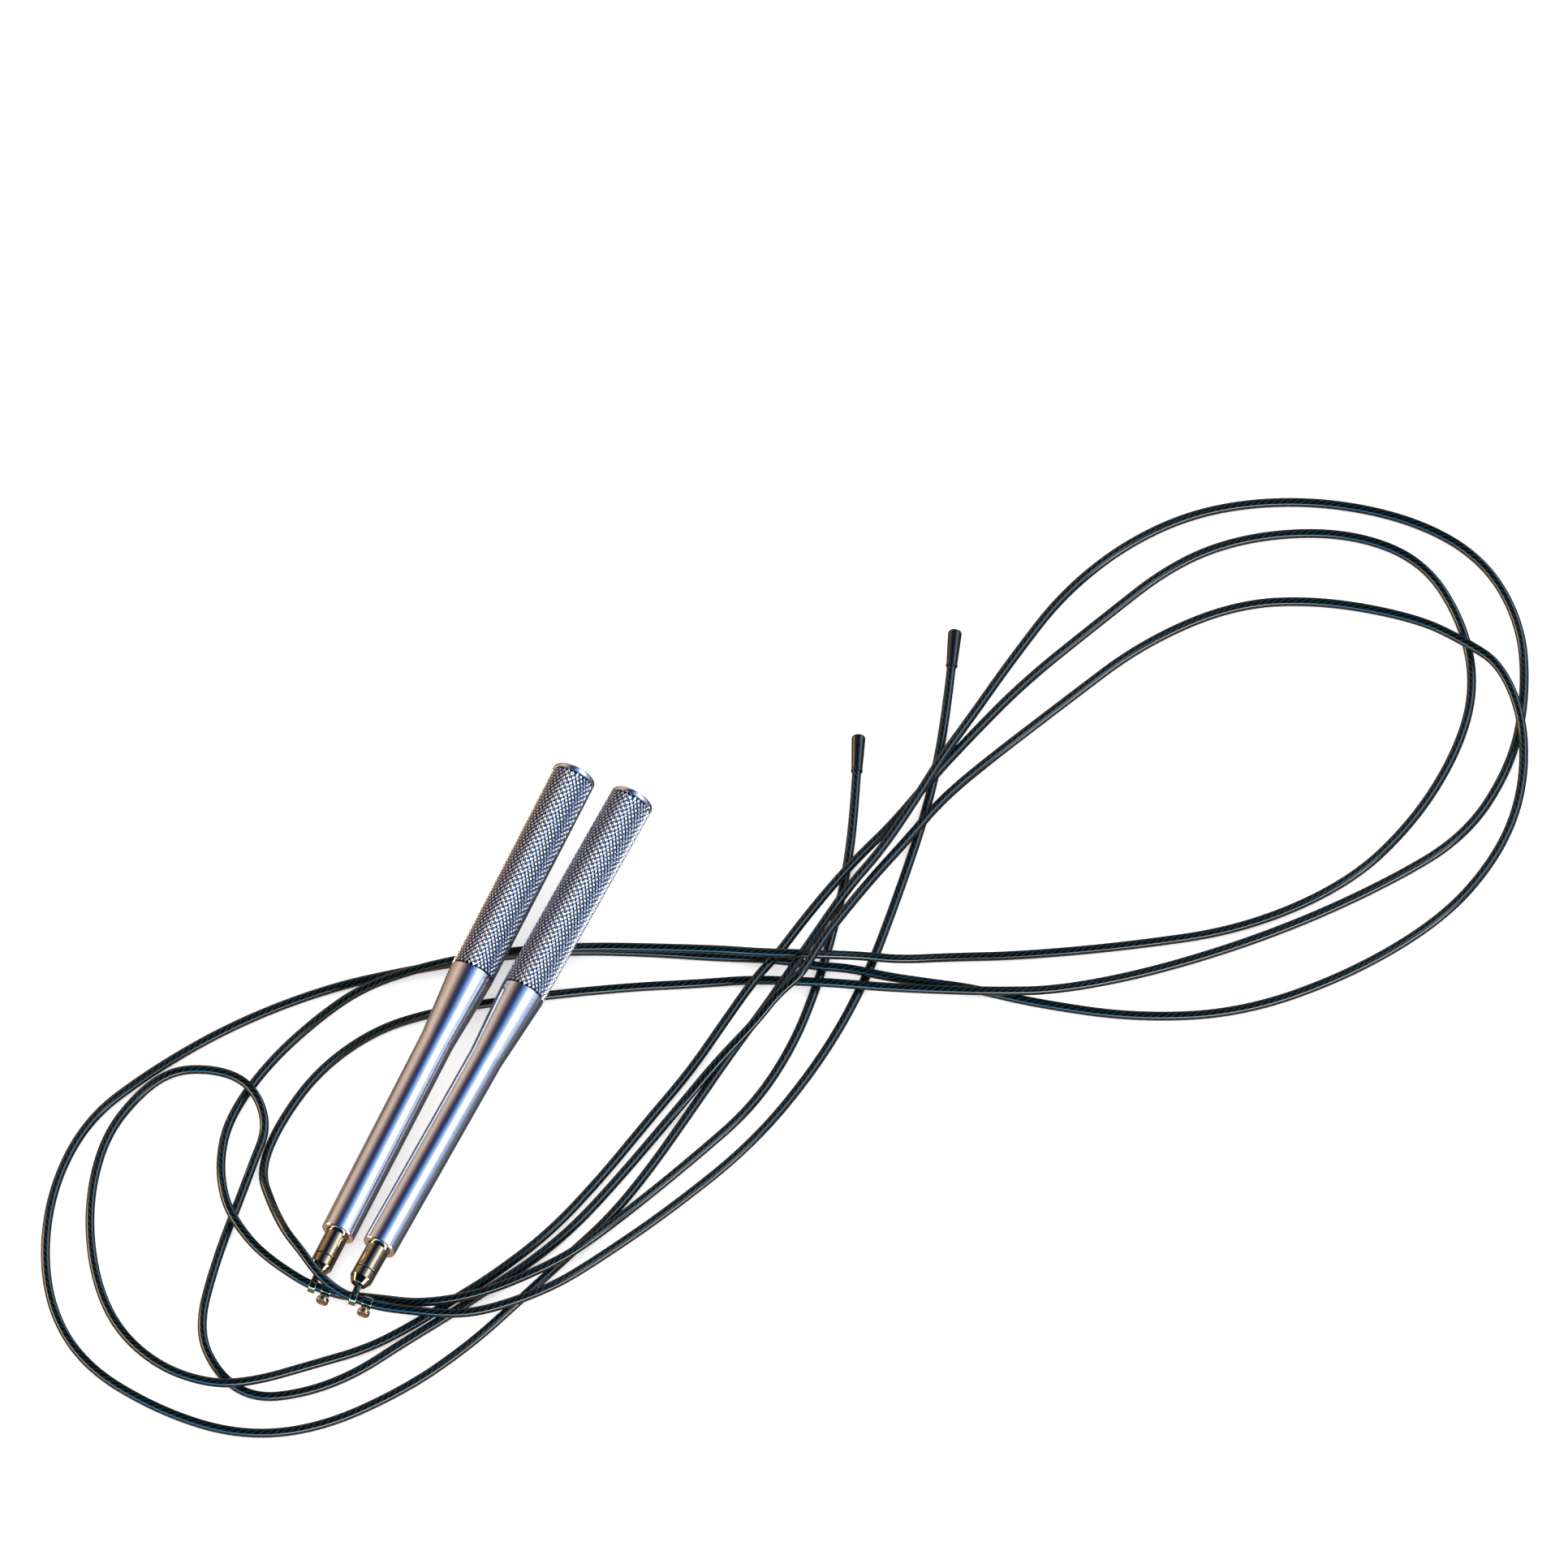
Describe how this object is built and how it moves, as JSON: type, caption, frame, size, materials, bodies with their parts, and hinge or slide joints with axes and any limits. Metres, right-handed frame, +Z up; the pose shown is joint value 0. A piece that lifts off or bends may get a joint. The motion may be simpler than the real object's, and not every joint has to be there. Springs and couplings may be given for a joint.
{
  "type": "jump rope",
  "caption": "Speed jump rope with knurled aluminium handles, ball-jointed swivel eyes, screw clamps and a long coated steel cable laid in a loose figure of eight.",
  "frame": {"origin": "on the surface that the rope lies on, under the middle of the two handles", "axes": "+Z up; the handles lie along Y, grips towards +Y and swivels towards -Y; +X towards the right handle and the large loops"},
  "size_m": [0.3084, 0.3989, 0.0221],
  "materials": {
    "turned_aluminium": "turned and knurled, clear anodised",
    "polished_nickel": "bright nickel plate",
    "turned_steel": "turned",
    "bearing_steel": "ground and polished",
    "cable_coating": "dark green-black strand under a clear gloss coat",
    "cap_plastic": "gloss black"
  },
  "bodies": {
    "rope": {"cable": "cable_coating", "long_tail_cap": "cap_plastic", "short_tail_cap": "cap_plastic"},
    "left_clamp": {"left_clamp_collar": "polished_nickel"},
    "left_screw": {"left_thumb_screw": "polished_nickel"},
    "left_eye": {"left_eye": "polished_nickel"},
    "left_spindle": {"left_socket_cap": "polished_nickel", "left_spindle": "polished_nickel", "left_front_inner_race": "bearing_steel", "left_rear_inner_race": "bearing_steel", "left_shaft_spacer": "turned_steel", "left_washer": "turned_steel", "left_locknut": "turned_steel"},
    "left_handle": {"left_handle_body": "turned_aluminium", "left_end_plug": "turned_aluminium", "left_front_outer_race": "bearing_steel", "left_rear_outer_race": "bearing_steel", "left_bearing_spacer": "turned_steel", "left_retaining_ring": "turned_steel"},
    "left_ball_train": {"left_front_bearing_balls": "bearing_steel", "left_rear_bearing_balls": "bearing_steel"},
    "right_clamp": {"right_clamp_collar": "polished_nickel"},
    "right_screw": {"right_thumb_screw": "polished_nickel"},
    "right_eye": {"right_eye": "polished_nickel"},
    "right_spindle": {"right_socket_cap": "polished_nickel", "right_spindle": "polished_nickel", "right_front_inner_race": "bearing_steel", "right_rear_inner_race": "bearing_steel", "right_shaft_spacer": "turned_steel", "right_washer": "turned_steel", "right_locknut": "turned_steel"},
    "right_handle": {"right_handle_body": "turned_aluminium", "right_end_plug": "turned_aluminium", "right_front_outer_race": "bearing_steel", "right_rear_outer_race": "bearing_steel", "right_bearing_spacer": "turned_steel", "right_retaining_ring": "turned_steel"},
    "right_ball_train": {"right_front_bearing_balls": "bearing_steel", "right_rear_bearing_balls": "bearing_steel"}
  },
  "joints": [
    {"name": "left_clamp_slide", "type": "slide", "parent": "rope", "child": "left_clamp", "axis": [0.9844, 0.1147, -0.1338], "range_m": [-0.0012, 0.0006]},
    {"name": "left_screw_turn", "type": "hinge", "parent": "left_clamp", "child": "left_screw", "pos_m": [-0.00123, -0.08228, 0.00294], "axis": [0.1157, -0.9933, 0], "range_deg": [-720, 0]},
    {"name": "left_eye_swing", "type": "hinge", "parent": "rope", "child": "left_eye", "pos_m": [-0.00507, -0.08272, 0.00346], "axis": [0.9844, 0.1147, -0.1338], "range_deg": [0, 6]},
    {"name": "left_ball_tilt", "type": "hinge", "parent": "left_eye", "child": "left_spindle", "pos_m": [-0.00572, -0.07667, 0.00388], "axis": [0.9844, 0.1147, -0.1338], "range_deg": [0, 8]},
    {"name": "left_handle_spin", "type": "hinge", "parent": "left_spindle", "child": "left_handle", "pos_m": [-0.00572, -0.07667, 0.00388], "axis": [-0.0165, 0.997, 0.075], "continuous": true},
    {"name": "left_ball_train_spin", "type": "hinge", "parent": "left_spindle", "child": "left_ball_train", "pos_m": [-0.00572, -0.07667, 0.00388], "axis": [-0.0165, 0.997, 0.075], "continuous": true},
    {"name": "right_clamp_slide", "type": "slide", "parent": "rope", "child": "right_clamp", "axis": [0.9846, 0.1333, -0.1128], "range_m": [-0.0012, 0.0006]},
    {"name": "right_screw_turn", "type": "hinge", "parent": "right_clamp", "child": "right_screw", "pos_m": [0.01062, -0.08149, 0.00423], "axis": [0.1342, -0.991, 0], "range_deg": [-720, 0]},
    {"name": "right_eye_swing", "type": "hinge", "parent": "rope", "child": "right_eye", "pos_m": [0.00678, -0.08201, 0.00467], "axis": [0.9846, 0.1333, -0.1128], "range_deg": [0, 60]},
    {"name": "right_ball_tilt", "type": "hinge", "parent": "right_eye", "child": "right_spindle", "pos_m": [0.00597, -0.07596, 0.00473], "axis": [0.9846, 0.1333, -0.1128], "range_deg": [0, 5]},
    {"name": "right_handle_spin", "type": "hinge", "parent": "right_spindle", "child": "right_handle", "pos_m": [0.00597, -0.07596, 0.00473], "axis": [0.0165, 0.998, 0.061], "continuous": true},
    {"name": "right_ball_train_spin", "type": "hinge", "parent": "right_spindle", "child": "right_ball_train", "pos_m": [0.00597, -0.07596, 0.00473], "axis": [0.0165, 0.998, 0.061], "continuous": true}
  ],
  "couplings": [
    {"joint": "left_ball_train_spin", "follows": "left_handle_spin", "ratio": 0.59},
    {"joint": "right_ball_train_spin", "follows": "right_handle_spin", "ratio": 0.59}
  ]
}
